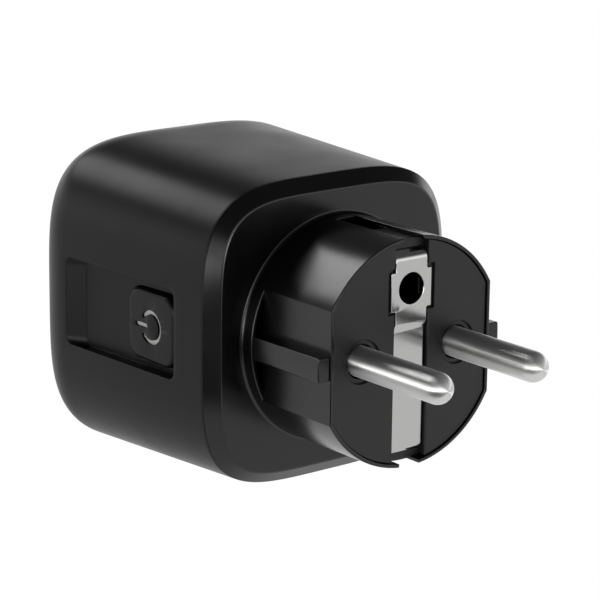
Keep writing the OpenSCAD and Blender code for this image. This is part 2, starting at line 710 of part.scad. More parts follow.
housing();
rear_cover();
plug_carrier();
live_pin();
neutral_pin();
earth_strap();
earth_guide();
socket_well();
shutter();
shutter_spring();
contact_block();
live_contact();
neutral_contact();
earth_clips();
earth_link();
main_board();
board_screws();
live_bus_bar();
neutral_bus_bar();
relay();
film_capacitor();
electrolytic_capacitors();
inductor();
varistor();
fuse_resistor();
current_shunt();
board_chips();
wifi_board();
wifi_shield();
button_board();
switch_body();
switch_plunger();
indicator_led();
button_cap();
light_guide();
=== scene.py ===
from math import atan2, acos, cos, degrees, pi, radians, sin, sqrt

import bmesh
import bpy
from bpy.props import FloatProperty, FloatVectorProperty, PointerProperty
from mathutils import Matrix, Vector


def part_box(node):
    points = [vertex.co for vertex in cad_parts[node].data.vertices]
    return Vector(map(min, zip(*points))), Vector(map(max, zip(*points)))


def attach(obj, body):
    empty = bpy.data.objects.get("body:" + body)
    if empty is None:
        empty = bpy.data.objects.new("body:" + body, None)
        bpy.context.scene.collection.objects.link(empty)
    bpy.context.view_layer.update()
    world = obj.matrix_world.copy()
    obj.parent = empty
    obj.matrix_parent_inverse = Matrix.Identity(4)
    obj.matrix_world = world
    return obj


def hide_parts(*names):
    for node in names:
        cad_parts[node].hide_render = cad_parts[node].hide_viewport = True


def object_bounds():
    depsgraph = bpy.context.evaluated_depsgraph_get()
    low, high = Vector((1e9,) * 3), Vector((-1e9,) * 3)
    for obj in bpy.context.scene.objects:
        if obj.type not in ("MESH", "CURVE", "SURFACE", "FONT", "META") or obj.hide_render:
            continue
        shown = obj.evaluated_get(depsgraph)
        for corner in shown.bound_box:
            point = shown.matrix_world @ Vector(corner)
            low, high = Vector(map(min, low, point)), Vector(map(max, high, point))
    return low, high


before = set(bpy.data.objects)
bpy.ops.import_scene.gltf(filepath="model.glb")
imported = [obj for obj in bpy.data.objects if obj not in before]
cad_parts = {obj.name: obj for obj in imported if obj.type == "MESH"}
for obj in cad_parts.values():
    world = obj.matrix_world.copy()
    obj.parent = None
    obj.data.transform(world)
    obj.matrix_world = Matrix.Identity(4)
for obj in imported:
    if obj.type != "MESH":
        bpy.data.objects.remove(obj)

bl_info = {
    "name": "Smart plug",
    "version": (1, 0, 0),
    "blender": (4, 5, 0),
    "location": "3D view > Sidebar > Smart plug",
    "description": "Models and finishes the visible pieces of a smart plug round its packed frame",
    "category": "Object",
}

MM = 0.001
AROUND = 256  # vertices round the body's outline
SIDE_POINTS = 34  # vertices along each side of the pocket's outline
CORNER_POINTS = 6  # and how many of them lie in each half corner
WINDOW_IN = 6.0  # distance from the socket face to the part of the side that is cut open
WINDOW_LENGTH = 34.4
PLATE_THICK = 1.8
SPIGOT_LENGTH = 3.4
FACE_BACK = -1.9  # back of the plug's two face halves
CAD_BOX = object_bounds()


def frame_mm(node):
    """Lowest and highest corner of a frame node, in millimetres."""
    low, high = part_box(node)
    return low / MM, high / MM


HOUSING_LOW, HOUSING_HIGH = frame_mm("housing")
COVER_LOW, COVER_HIGH = frame_mm("rear_cover")
WELL_LOW, WELL_HIGH = frame_mm("socket_well")
CAP_LOW, CAP_HIGH = frame_mm("button_cap")
PIN_LOW, PIN_HIGH = frame_mm("live_pin")
STRAP_LOW, STRAP_HIGH = frame_mm("earth_strap")
CARRIER_LOW, CARRIER_HIGH = frame_mm("plug_carrier")
GUIDE_LOW, GUIDE_HIGH = frame_mm("earth_guide")


# Sizes and colours -------------------------------------------------------------------------


def size(name, description, mm):
    return FloatProperty(
        name=name, description=description, default=mm * MM, min=0.0, unit="LENGTH", precision=5
    )


def number(name, description, value):
    return FloatProperty(name=name, description=description, default=value)


def colour(name, description, hex_colour):
    return FloatVectorProperty(
        name=name,
        description=description,
        default=linear(hex_colour)[:3],
        subtype="COLOR",
        size=3,
        min=0.0,
        max=1.0,
    )


def linear(hex_colour):
    """An sRGB hex colour as linear red, green, blue and alpha."""
    channels = [int(hex_colour[i : i + 2], 16) / 255 for i in (1, 3, 5)]
    return tuple(
        c / 12.92 if c <= 0.04045 else ((c + 0.055) / 1.055) ** 2.4 for c in channels
    ) + (1.0,)


class PlugBodySizes(bpy.types.PropertyGroup):
    seam: size("Seam", "Half width of the body at the seam", 24.3)
    wide: size("Wide end", "Half width of the body where its end rounding starts", HOUSING_HIGH.x)
    nose_in: size("Rounding in", "How far the end rounding runs in from the side", 4.4)
    nose_length: size("Rounding length", "How far the end rounding runs along the body", 7.4)
    wall: size("Wall", "Wall of the housing", 1.6)
    square: number("Squareness", "Power of the body's outline, 2 is a circle", 4.0)
    edge: size("Edge rounding", "Rounding of the body's edges", 0.22)
    pocket_low: size("Pocket start", "Distance from the socket face to the pocket", 9.0)
    pocket_length: size("Pocket length", "Length of the pocket in the side", 28.2)
    pocket_half: size("Pocket half height", "Half height of the pocket", 7.3)
    pocket_up: size("Pocket height", "Height of the pocket's middle above the pins", 0.4)
    pocket_ramp: size("Pocket ramp", "How far the pocket's socket end slopes outwards", 3.0)
    pocket_corner: size("Pocket corner", "Radius of the pocket's corners", 1.5)
    pocket_shallow: size("Pocket depth, socket end", "Depth of the pocket's shallow end", 1.8)
    pocket_deep: size("Pocket depth, plug end", "Depth of the pocket's deep end", 2.4)
    hole_gap: size("Button gap", "Gap round the button", 0.15)


class PlugCoverSizes(bpy.types.PropertyGroup):
    plate: size("Plate", "Half width of the rear cover's flat plate", 22.15)
    plate_square: number("Plate squareness", "Power of the plate's outline", 4.5)
    plate_back: size("Plate", "Distance from the plug's lip to the plate", 18.8)
    radius: size("Plug radius", "Radius of the plug", 18.2)
    flat: size("Flat", "Half of the distance across the plug's flats", 15.9)
    flat_length: size("Flat length", "Length of the plug's flats", 16.3)
    shell: size("Shell wall", "Wall of the plug's shell", 0.6)
    slot: size("Slot", "Width of the slots at the top and the bottom", 3.9)
    rib: size("Rib", "Width of the rib on each flat", 3.8)
    foot: size("Foot rounding", "Rounding where the plug meets the plate", 0.5)
    lip: size("Lip", "Depth of the plug's face below its lip", 0.3)
    channel: size("Channel", "Width of the channel for the earth strap", 6.6)
    edge: size("Edge rounding", "Rounding of the moulded edges", 0.16)


class PlugMetalSizes(bpy.types.PropertyGroup):
    pitch: size("Pin distance", "Distance between the pins", 19.0)
    pin: size("Pin radius", "Radius of the pins", 2.4)
    strap: size("Strap width", "Width of the earth strap", 6.2)
    strap_thick: size("Strap thickness", "Thickness of the earth strap", 0.8)
    hole: size("Earth hole", "Radius of the earth hole", 2.45)
    hole_height: size("Earth hole height", "Height of the earth hole above the pins", 10.0)


class PlugButtonSizes(bpy.types.PropertyGroup):
    length: size("Button length", "Length of the button along the body", 12.5)
    height: size("Button height", "Height of the button", 11.6)
    corner: size("Button corner", "Radius of the button's corners", 2.8)
    edge: size("Button edge", "Rounding of the button's face edges", 0.8)
    ring: size("Symbol radius", "Outer radius of the power symbol", 2.8)
    stroke: size("Symbol stroke", "Width of the power symbol's stroke", 0.75)
    sunk: size("Symbol depth", "Depth of the symbol below the button's face", 0.35)


class PlugSocketSizes(bpy.types.PropertyGroup):
    well: size("Well radius", "Radius of the socket's well", 19.6)
    depth: size("Well depth", "Depth of the socket's well", 17.5)
    hole: size("Pin hole", "Radius of the pin holes", 2.75)


class PlugColours(bpy.types.PropertyGroup):
    housing: colour("Housing", "Colour of the moulded housing", "#050506")
    cover: colour("Rear cover", "Colour of the moulded rear cover", "#040405")
    face: colour("Plug face", "Colour of the plug's face", "#0A0A0B")
    nickel: colour("Nickel", "Colour of the nickel plating", "#CECECD")
    symbol: colour("Symbol", "Colour of the power symbol's insert", "#8E8E8C")


# Small shapes ------------------------------------------------------------------------------


def squircle(half, power, y):
    """Closed outline of a square with soft sides and corners, across the body at y."""
    points = []
    for i in range(AROUND):
        c, s = cos(2 * pi * i / AROUND), sin(2 * pi * i / AROUND)
        reach = half / (abs(c) ** power + abs(s) ** power) ** (1 / power)
        points.append(Vector((reach * c, y, reach * s)))
    return points


def arc(centre, radius, start, end, steps):
    """Points of an arc in a flat outline, its ends included, angles in degrees."""
    return [
        Vector(
            (
                centre[0] + radius * cos(radians(start + (end - start) * k / steps)),
                centre[1] + radius * sin(radians(start + (end - start) * k / steps)),
            )
        )
        for k in range(steps + 1)
    ]


def rounding(radius, steps, first=0):
    """How far a round edge still has to go sideways, and how far it has dropped, at each step."""
    turns = [radians(90 * k / steps) for k in range(first, steps + 1)]
    return [(radius * (1 - sin(turn)), radius * (1 - cos(turn))) for turn in turns]


def soften(points, radius, steps=4):
    """The outline with its sharp corners rounded."""
    result = []
    for before, here, after in zip(points[-1:] + points[:-1], points, points[1:] + points[:1]):
        a, b = (before - here), (after - here)
        turn = pi - a.angle(b)
        reach = radius * abs(sin(turn / 2) / cos(turn / 2)) if turn < 3 else 0
        if turn < radians(25) or reach > 0.49 * min(a.length, b.length):
            result.append(here)
            continue
        start, end = here + a.normalized() * reach, here + b.normalized() * reach
        for k in range(steps + 1):
            t = k / steps
            result.append(start * (1 - t) ** 2 + here * 2 * t * (1 - t) + end * t**2)
    return result


def offset(points, by):
    """The flat outline moved outwards, with mitred corners. It runs anticlockwise."""
    moved = []
    for before, here, after in zip(points[-1:] + points[:-1], points, points[1:] + points[:1]):
        d0, d1 = (here - before).normalized(), (after - here).normalized()
        n0, n1 = Vector((d0.y, -d0.x)), Vector((d1.y, -d1.x))
        moved.append(here + (n0 + n1) * (by / max(0.2, 1 + n0.dot(n1))))
    return moved


def first_loop(bm, points):
    """A closed loop of vertices at the points."""
    loop = bmesh.ops.create_circle(bm, segments=len(points), radius=1.0)["verts"]
    for vertex, point in zip(loop, points):
        vertex.co = point
    return list(loop)


def grow(bm, loop, points):
    """Extrudes a closed loop to new points and returns the new loop."""
    pairs = zip(loop, loop[1:] + loop[:1])
    edges = [bm.edges.get(pair) for pair in pairs]
    made = bmesh.ops.extrude_edge_only(bm, edges=edges)["geom"]
    fresh = {v for v in made if isinstance(v, bmesh.types.BMVert)}
    result = []
    for vertex, point in zip(loop, points):
        end = next(
            e.other_vert(vertex) for e in vertex.link_edges if e.other_vert(vertex) in fresh
        )
        end.co = point
        result.append(end)
    return result


def grow_all(bm, loops):
    """A skin through a list of outlines, returned as its first and last loop."""
    start = loop = first_loop(bm, loops[0])
    for points in loops[1:]:
        loop = grow(bm, loop, points)
    return start, loop


def loop_edges(bm, loop):
    return [bm.edges.get(pair) for pair in zip(loop, loop[1:] + loop[:1])]


def bridge(bm, one, other):
    bmesh.ops.bridge_loops(bm, edges=loop_edges(bm, one) + loop_edges(bm, other))


def cap(bm, loops, normal):
    """Fills a flat region, its first loop outside and the others holes in it."""
    edges = [e for loop in loops for e in loop_edges(bm, loop)]
    bmesh.ops.triangle_fill(bm, edges=edges, use_beauty=True, normal=normal)


def slab(bm, outline, holes, place, top, bottom, edge, steps=3, back_edge=0.0):
    """A flat shape with holes, made solid from top to bottom with its edges rounded.

    place turns a flat point and a height into a point in space, and the flat shape and
    its height turn the right way round in it.
    """
    tops, bottoms = [], []
    for points, out in [(outline, 1)] + [(hole, -1) for hole in holes]:
        loops = []
        for aside, drop in rounding(edge, steps):
            ring = offset(points, -out * aside)
            loops.append([place(p, top - drop) for p in ring])
        if back_edge:
            for drop, aside in rounding(back_edge, steps):
                ring = offset(points, -out * aside)
                loops.append([place(p, bottom + drop) for p in ring])
        else:
            loops.append([place(p, bottom) for p in points])
        first, last = grow_all(bm, loops)
        tops.append(first)
        bottoms.append(last)
    up = place(Vector((0, 0)), 1) - place(Vector((0, 0)), 0)
    cap(bm, tops, up)
    cap(bm, bottoms, -up)


def across(p, height):
    """Flat X and Z, height along Y."""
    return Vector((p[0], height, p[1]))


def outwards(p, height):
    """Flat X and Z, height away from the pins, out of the socket."""
    return across(p, -height)


def sideways(p, height):
    """Flat Y and Z, height along X."""
    return Vector((height, p[0], p[1]))


def rectangle(left, low, right, high):
    return [Vector(p) for p in ((left, low), (right, low), (right, high), (left, high))]


def circle(centre, radius, steps=64):
    return arc(centre, radius, 0, 360, steps)[:-1]


def ring_points(radius, y, steps=AROUND):
    return [Vector((p[0], y, p[1])) for p in circle((0, 0), radius, steps)]


def between(one, other, share):
    return [a.lerp(b, share) for a, b in zip(one, other)]


def lathe(bm, profile, centre, steps=96):
    """Spins a profile of radius and y about a line along Y."""
    verts = [bm.verts.new((centre[0] + r, y, centre[1])) for r, y in profile]
    edges = [bm.edges.new(pair) for pair in zip(verts, verts[1:])]
    bmesh.ops.spin(
        bm,
        geom=verts + edges,
        cent=(centre[0], 0, centre[1]),
        axis=(0, 1, 0),
        angle=2 * pi,
        steps=steps,
        use_merge=True,
    )
    bmesh.ops.remove_doubles(bm, verts=bm.verts, dist=1e-5)


def piece(name, bm, body, material, replaced=(), sharp=35.0, closed=True):
    """Turns a mesh in millimetres into a finished piece that rides on a body."""
    bmesh.ops.remove_doubles(bm, verts=bm.verts, dist=1e-5)
    bmesh.ops.recalc_face_normals(bm, faces=bm.faces)
    loose = [e for e in bm.edges if len(e.link_faces) != 2]
    if closed and loose:
        raise RuntimeError(f"{name} has {len(loose)} open edges, such as at {loose[0].verts[0].co}")
    bmesh.ops.scale(bm, vec=(MM, MM, MM), verts=bm.verts)
    mesh = bpy.data.meshes.new(name)
    bm.to_mesh(mesh)
    bm.free()
    mesh.polygons.foreach_set("use_smooth", [True] * len(mesh.polygons))
    for polygon in mesh.polygons:
        if max(abs(n) for n in polygon.normal) > 0.9995:
            polygon.use_smooth = False
    mesh.set_sharp_from_angle(angle=radians(sharp))
    mesh.materials.append(material)
    obj = bpy.data.objects.new(name, mesh)
    bpy.context.scene.collection.objects.link(obj)
    weighted = obj.modifiers.new("Even shading", "WEIGHTED_NORMAL")
    weighted.keep_sharp = True
    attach(obj, body)
    if replaced:
        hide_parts(*replaced)
    return obj


# Materials ---------------------------------------------------------------------------------


def add_node(tree, kind, links=(), **settings):
    """Adds a node, sets its properties and inputs, and links its inputs to other sockets."""
    made = tree.nodes.new(kind)
    for name, value in settings.items():
        if hasattr(made, name):
            setattr(made, name, value)
        else:
            made.inputs[name.replace("_", " ")].default_value = value
    for name, source in dict(links).items():
        tree.links.new(source, made.inputs[name])
    return made


def new_material(name, base, roughness, metallic=0.0, ior=None):
    """A material with a surface shader, returned with its tree, shader and coordinates."""
    material = bpy.data.materials.new(name)
    material.use_nodes = True
    tree = material.node_tree
    shader = next(n for n in tree.nodes if n.type == "BSDF_PRINCIPLED")
    shader.inputs["Base Color"].default_value = tuple(base[:3]) + (1.0,)
    shader.inputs["Roughness"].default_value = roughness
    shader.inputs["Metallic"].default_value = metallic
    if ior:
        shader.inputs["IOR"].default_value = ior
    place = add_node(tree, "ShaderNodeTexCoord")
    material.diffuse_color = tuple(base[:3]) + (1.0,)
    return material, tree, shader, place.outputs["Object"]


def grain(tree, shader, place, size_mm, depth_mm, rough_low, rough_high, mottle_mm):
    """Fine bump of a set grain size, with a roughness that drifts over the surface."""
    noise = "ShaderNodeTexNoise"
    fine = add_node(tree, noise, {"Vector": place}, Scale=1 / (size_mm * MM), Detail=2.0)
    drift = add_node(tree, noise, {"Vector": place}, Scale=1 / (mottle_mm * MM), Detail=3.0)
    spread = add_node(
        tree,
        "ShaderNodeMapRange",
        {"Value": drift.outputs["Fac"]},
        From_Min=0.3,
        From_Max=0.7,
        To_Min=rough_low,
        To_Max=rough_high,
    )
    bump = add_node(
        tree,
        "ShaderNodeBump",
        {"Height": fine.outputs["Fac"]},
        Strength=1.0,
        Distance=depth_mm * MM,
    )
    tree.links.new(spread.outputs["Result"], shader.inputs["Roughness"])
    tree.links.new(bump.outputs["Normal"], shader.inputs["Normal"])


def moulded_plastic(name, base, rough_low, rough_high, grain_mm, depth_mm, level=0.5, ior=1.5):
    """A plastic or a coat with a fine grain, and level says how strongly it reflects."""
    material, tree, shader, place = new_material(name, base, rough_low, ior=ior)
    shader.inputs["Specular IOR Level"].default_value = level
    grain(tree, shader, place, grain_mm, depth_mm, rough_low, rough_high, 9.0)
    return material


def satin_polycarbonate_abs():
    # Polycarbonate and ABS from a finely blasted mould: near black, with broad soft highlights.
    tint = bpy.context.scene.plug_colours.housing
    return moulded_plastic(
        "satin_moulded_polycarbonate_abs", tint, 0.33, 0.38, 0.16, 0.0012, level=0.14
    )


def polished_polycarbonate():
    # Polycarbonate from a polished mould: black, with clearer reflections of what is round it.
    tint = bpy.context.scene.plug_colours.cover
    return moulded_plastic(
        "polished_moulded_polycarbonate", tint, 0.2, 0.26, 0.25, 0.0008, level=0.4
    )


def textured_polyamide():
    # Polyamide from an eroded mould: dark grey, even and dull.
    tint = bpy.context.scene.plug_colours.face
    return moulded_plastic("eroded_moulded_polyamide", tint, 0.42, 0.5, 0.14, 0.002, level=0.34)


def frosted_polycarbonate():
    # Frosted polycarbonate over an unlit lamp: mid grey, slightly milky.
    tint = bpy.context.scene.plug_colours.symbol
    material = moulded_plastic("frosted_moulded_polycarbonate", tint, 0.35, 0.45, 0.1, 0.001, ior=1.58)
    shader = next(n for n in material.node_tree.nodes if n.type == "BSDF_PRINCIPLED")
    shader.inputs["Subsurface Weight"].default_value = 0.2
    shader.inputs["Subsurface Radius"].default_value = (0.4, 0.4, 0.4)
    shader.inputs["Subsurface Scale"].default_value = 0.001
    return material


RING_STEP = 0.22  # step of the lathe's rings in millimetres, a few times coarser than real
RING_SCALE = pi / 20  # a wave texture of scale 1 repeats every pi / 10, a light and a dark step


def turned_nickel():
    # Nickel plating over turned brass: bright, drawn out along the pin by rings from the lathe,
    # which are drawn coarser than they are so that they show.
    tint = bpy.context.scene.plug_colours.nickel
    material, tree, shader, place = new_material("nickel_plated_turned_brass", tint, 0.4, 1.0)
    shader.inputs["Anisotropic"].default_value = 0.95
    shader.inputs["Anisotropic Rotation"].default_value = 0.25
    around = add_node(tree, "ShaderNodeTangent", direction_type="RADIAL", axis="Y")
    tree.links.new(around.outputs["Tangent"], shader.inputs["Tangent"])
    rings = add_node(
        tree,
        "ShaderNodeTexWave",
        {"Vector": place},
        wave_type="BANDS",
        bands_direction="Y",
        Scale=RING_SCALE / (RING_STEP * MM),
        Distortion=1.5,
        Detail=2.0,
    )
    drift = add_node(tree, "ShaderNodeTexNoise", {"Vector": place}, Scale=1 / (3 * MM), Detail=3.0)
    rough = add_node(
        tree,
        "ShaderNodeMapRange",
        {"Value": drift.outputs["Fac"]},
        From_Min=0.3,
        From_Max=0.7,
        To_Min=0.37,
        To_Max=0.43,
    )
    bump = add_node(
        tree, "ShaderNodeBump", {"Height": rings.outputs["Fac"]}, Strength=0.6, Distance=0.0006 * MM
    )
    tree.links.new(rough.outputs["Result"], shader.inputs["Roughness"])
    tree.links.new(bump.outputs["Normal"], shader.inputs["Normal"])
    return material


def rolled_strip(name, tint, rough_low, rough_high):
    # Rolled and plated strip: satin, with faint lines along the way it was rolled.
    material, tree, shader, place = new_material(name, tint, rough_low, 1.0)
    stretch = (1 / (0.25 * MM), 1 / (0.25 * MM), 1 / (6 * MM))
    lines = add_node(tree, "ShaderNodeMapping", {"Vector": place}, Scale=stretch)
    lined_up = {"Vector": lines.outputs["Vector"]}
    streaks = add_node(tree, "ShaderNodeTexNoise", lined_up, Scale=1.0, Detail=2.0)
    rough = add_node(
        tree,
        "ShaderNodeMapRange",
        {"Value": streaks.outputs["Fac"]},
        From_Min=0.3,
        From_Max=0.7,
        To_Min=rough_low,
        To_Max=rough_high,
    )
    bump = add_node(
        tree, "ShaderNodeBump", {"Height": streaks.outputs["Fac"]}, Strength=0.5, Distance=0.0006 * MM
    )
    tree.links.new(rough.outputs["Result"], shader.inputs["Roughness"])
    tree.links.new(bump.outputs["Normal"], shader.inputs["Normal"])
    return material


def solder_mask(name, hex_colour):
    # Lacquer over copper and woven glass: glossy, with the tracks showing a little lighter.
    material, tree, shader, place = new_material(name, linear(hex_colour), 0.25, ior=1.55)
    tracks = add_node(
        tree, "ShaderNodeTexBrick", {"Vector": place}, Scale=1 / (3 * MM), Mortar_Size=0.03
    )
    deep = linear(hex_colour)
    tracks.inputs["Color1"].default_value = deep
    tracks.inputs["Color2"].default_value = tuple(c * 0.85 for c in deep[:3]) + (1.0,)
    tracks.inputs["Mortar"].default_value = tuple(min(1.0, c * 1.7) for c in deep[:3]) + (1.0,)
    tree.links.new(tracks.outputs["Color"], shader.inputs["Base Color"])
    grain(tree, shader, place, 0.2, 0.002, 0.2, 0.32, 4.0)
    return material


# Plain mouldings and coats: name, colour, lowest and highest roughness, grain and its depth.
PLASTICS = {
    # natural polyester: warm white and slightly dull
    "white": ("natural_moulded_polyester", "#DCDBD5", 0.4, 0.5, 0.2, 0.002),
    # coloured polyester case: deep blue, satin
    "relay": ("moulded_relay_case", "#24426C", 0.35, 0.45, 0.2, 0.002),
    # box filled with resin: amber, with a soft shine
    "amber": ("moulded_capacitor_case", "#B0812B", 0.3, 0.4, 0.3, 0.002),
    # sleeve shrunk over a can: dark and glossy, a little uneven
    "sleeve": ("shrunk_capacitor_sleeve", "#1D212C", 0.25, 0.35, 0.6, 0.004),
    # pressed and fired iron oxide: dull dark grey with a fine tooth
    "ferrite": ("sintered_ferrite", "#393C40", 0.6, 0.75, 0.12, 0.01),
    # epoxy that the part was dipped in: blue, glossy and wavy
    "varistor": ("dipped_epoxy", "#2A5A9A", 0.2, 0.3, 0.8, 0.02),
    # cement fired on a rod: chalky green
    "resistor": ("fired_cement", "#3B7650", 0.6, 0.7, 0.2, 0.01),
    # filled epoxy from a mould: dull black
    "chip": ("moulded_epoxy", "#151515", 0.5, 0.6, 0.12, 0.004),
    # clear resin with phosphor: pale yellow and smooth
    "lamp": ("cast_phosphor_resin", "#E8E3C2", 0.2, 0.3, 0.3, 0.001),
}
# Plated, bare and stamped strip: name, colour, lowest and highest roughness.
STRIPS = {
    # bright nickel over rolled brass
    "strap": ("nickel_plated_rolled_strip", "#AFAFAE", 0.13, 0.18),
    # bare copper alloy: warm, with the lines that it was rolled with
    "copper": ("stamped_copper_alloy", "#C98F58", 0.24, 0.36),
    # bare brass: yellow and satin
    "brass": ("rolled_brass", "#CDB071", 0.24, 0.36),
    # drawn wire and screws: grey, satin
    "steel": ("drawn_spring_steel", "#A9ABAE", 0.24, 0.36),
    # tin over steel sheet: pale and softer
    "tin": ("tinned_steel_sheet", "#C6C8CA", 0.3, 0.45),
}
BOARDS = {
    "board": ("green_solder_mask", "#17502E"),
    "radio_board": ("blue_solder_mask", "#173A68"),
}
SPECIAL = {
    "housing": satin_polycarbonate_abs,
    "cover": polished_polycarbonate,
    "face": textured_polyamide,
    "symbol": frosted_polycarbonate,
    "pin": turned_nickel,
}
FINISHES = {}


def finish(kind):
    """One shared material of each kind, made when it is first asked for."""
    if kind in FINISHES:
        return FINISHES[kind]
    if kind in PLASTICS:
        name, tint, *surface = PLASTICS[kind]
        FINISHES[kind] = moulded_plastic(name, linear(tint), *surface)
    elif kind in STRIPS:
        name, tint, *surface = STRIPS[kind]
        FINISHES[kind] = rolled_strip(name, linear(tint), *surface)
    elif kind in BOARDS:
        FINISHES[kind] = solder_mask(*BOARDS[kind])
    else:
        FINISHES[kind] = SPECIAL[kind]()
    return FINISHES[kind]


# Housing -----------------------------------------------------------------------------------


def rounded_rectangle(y0, y1, half, radius, side=SIDE_POINTS, corner=CORNER_POINTS):
    """Flat outline in Y and Z of a rectangle with round corners, all its sides alike."""
    centres = [
        Vector((y0 + radius, radius - half)),
        Vector((y0 + radius, half - radius)),
        Vector((y1 - radius, half - radius)),
        Vector((y1 - radius, radius - half)),
    ]
    points = []
    for k in range(4):
        here, there, start = centres[k], centres[(k + 1) % 4], 225 - 90 * k
        for s in range(side):
            if s <= corner:
                centre, angle = here, start - 45 * s / corner
            elif s >= side - corner:
                centre, angle = there, start - 45 - 45 * (s - side + corner) / corner
            else:
                share = (s - corner) / (side - 2 * corner)
                centre, angle = here.lerp(there, share), start - 45
            turn = radians(angle)
            points.append(centre + radius * Vector((cos(turn), sin(turn))))
    return points


class Body:
    """The housing's sizes in millimetres, and its side as a surface over Y and Z."""

    def __init__(self):
        s, b = bpy.context.scene.plug_body, bpy.context.scene.plug_button
        self.seam_y, self.socket_y = HOUSING_HIGH.y, HOUSING_LOW.y
        self.nose_y = self.socket_y + s.nose_length / MM
        self.seam, self.wide, self.nose_in = s.seam / MM, s.wide / MM, s.nose_in / MM
        self.nose_length, self.wall, self.square = s.nose_length / MM, s.wall / MM, s.square
        self.edge = s.edge / MM
        self.pocket_y0 = self.socket_y + s.pocket_low / MM
        self.pocket_y1 = self.pocket_y0 + s.pocket_length / MM
        self.pocket_half, self.corner = s.pocket_half / MM, s.pocket_corner / MM
        self.floor0 = self.half_at(self.pocket_y0) - s.pocket_shallow / MM
        self.floor1 = self.half_at(self.pocket_y1) - s.pocket_deep / MM
        self.pocket_z, self.ramp = s.pocket_up / MM, s.pocket_ramp / MM
        self.gap = s.hole_gap / MM
        self.button_y = (CAP_LOW.y + CAP_HIGH.y) / 2
        self.button_length, self.button_height = b.length / MM, b.height / MM
        self.button_corner = b.corner / MM

    def half_at(self, y):
        if y < self.nose_y:
            along = min(1.0, (self.nose_y - y) / self.nose_length)
            return self.wide - self.nose_in * (1 - sqrt(1 - along * along))
        return self.seam + (self.seam_y - y) / (self.seam_y - self.nose_y) * (self.wide - self.seam)

    def side_x(self, p, inset=0.0):
        half = self.half_at(p[0]) - inset
        return half * (1 - min(1.0, abs(p[1]) / half) ** self.square) ** (1 / self.square)

    def floor_x(self, y):
        share = (y - self.pocket_y0) / (self.pocket_y1 - self.pocket_y0)
        return self.floor0 + share * (self.floor1 - self.floor0)

    def button_hole(self, grow_by):
        half_length = self.button_length / 2 + grow_by
        return rounded_rectangle(
            self.button_y - half_length,
            self.button_y + half_length,
            self.button_height / 2 + grow_by,
            self.button_corner + grow_by,
        )

    def pocket(self, grow_by, depth_share=0.0):
        """Outline of the pocket. Its socket end slopes, and depth_share is how far down it is."""
        points = rounded_rectangle(
            self.pocket_y0 - grow_by,
            self.pocket_y1 + grow_by,
            self.pocket_half + grow_by,
            self.corner + grow_by,
        )
        for p in points:
            near = max(0.0, 1 - (p.x - self.pocket_y0 + grow_by) / (3 * self.ramp))
            p.x += self.ramp * depth_share * min(1.0, 1.5 * near)
            p.y += self.pocket_z
        return points


def side_window(bm, rows, columns):
    """Cuts a window out of the side of a skin of rows, and returns the loop round it."""
    low, high = [columns[0], columns[-1]], [0, len(rows) - 1]
    inner = [row[i] for row in rows[1:-1] for i in columns[1:-1]]
    bmesh.ops.delete(bm, geom=inner, context="VERTS")
    loop = [rows[0][i] for i in columns]
    loop += [row[low[1]] for row in rows[1:-1]]
    loop += [rows[high[1]][i] for i in reversed(columns)]
    loop += [row[low[0]] for row in reversed(rows[1:-1])]
    return loop


def body_skin(bm, body, stations, inset, pocket_grow, pocket_drop, rim, foot):
    """A skin along the body with the pocket in its side, and its ends, hole and floor returned."""
    step, start_y = WINDOW_LENGTH / SIDE_POINTS, body.socket_y + WINDOW_IN
    window_y = [start_y + k * step for k in range(SIDE_POINTS + 1)]
    before = [s for s in stations if s[0] < window_y[0] - 0.01]
    after = [s for s in stations if s[0] > window_y[-1] + 0.01]
    inside = [(y, squircle(body.half_at(y) - inset, body.square, y)) for y in window_y]
    loops = before + inside + after
    loop = first_loop(bm, loops[0][1])
    start, rows = loop, []
    for y, points in loops[1:]:
        loop = grow(bm, loop, points)
        if window_y[0] - 0.001 <= y <= window_y[-1] + 0.001:
            rows.append(loop)
    edge = side_window(bm, rows, list(range(-SIDE_POINTS // 2, SIDE_POINTS // 2 + 1)))
    window = [Vector((v.co.y, v.co.z)) for v in edge]

    def on_side(p, drop=0.0):
        return Vector((body.side_x(p, inset) - drop, p[0], p[1]))

    def floor(p, up):
        return Vector((body.floor_x(p[0]) - pocket_drop + up, p[0], p[1]))

    near = body.pocket(pocket_grow + rim + 0.9)
    ring = edge
    for share in (0.3, 0.6, 0.85, 1.0):
        ring = grow(bm, ring, [on_side(p) for p in between(window, near, share)])
    steps = 4
    for aside, drop in rounding(rim, steps):
        ring = grow(bm, ring, [on_side(p, drop) for p in body.pocket(pocket_grow + aside)])
    for up, aside in rounding(foot, steps):
        outline = body.pocket(pocket_grow - aside, 1.0)
        ring = grow(bm, ring, [floor(p, up) for p in outline])
    return start, loop, ring, floor


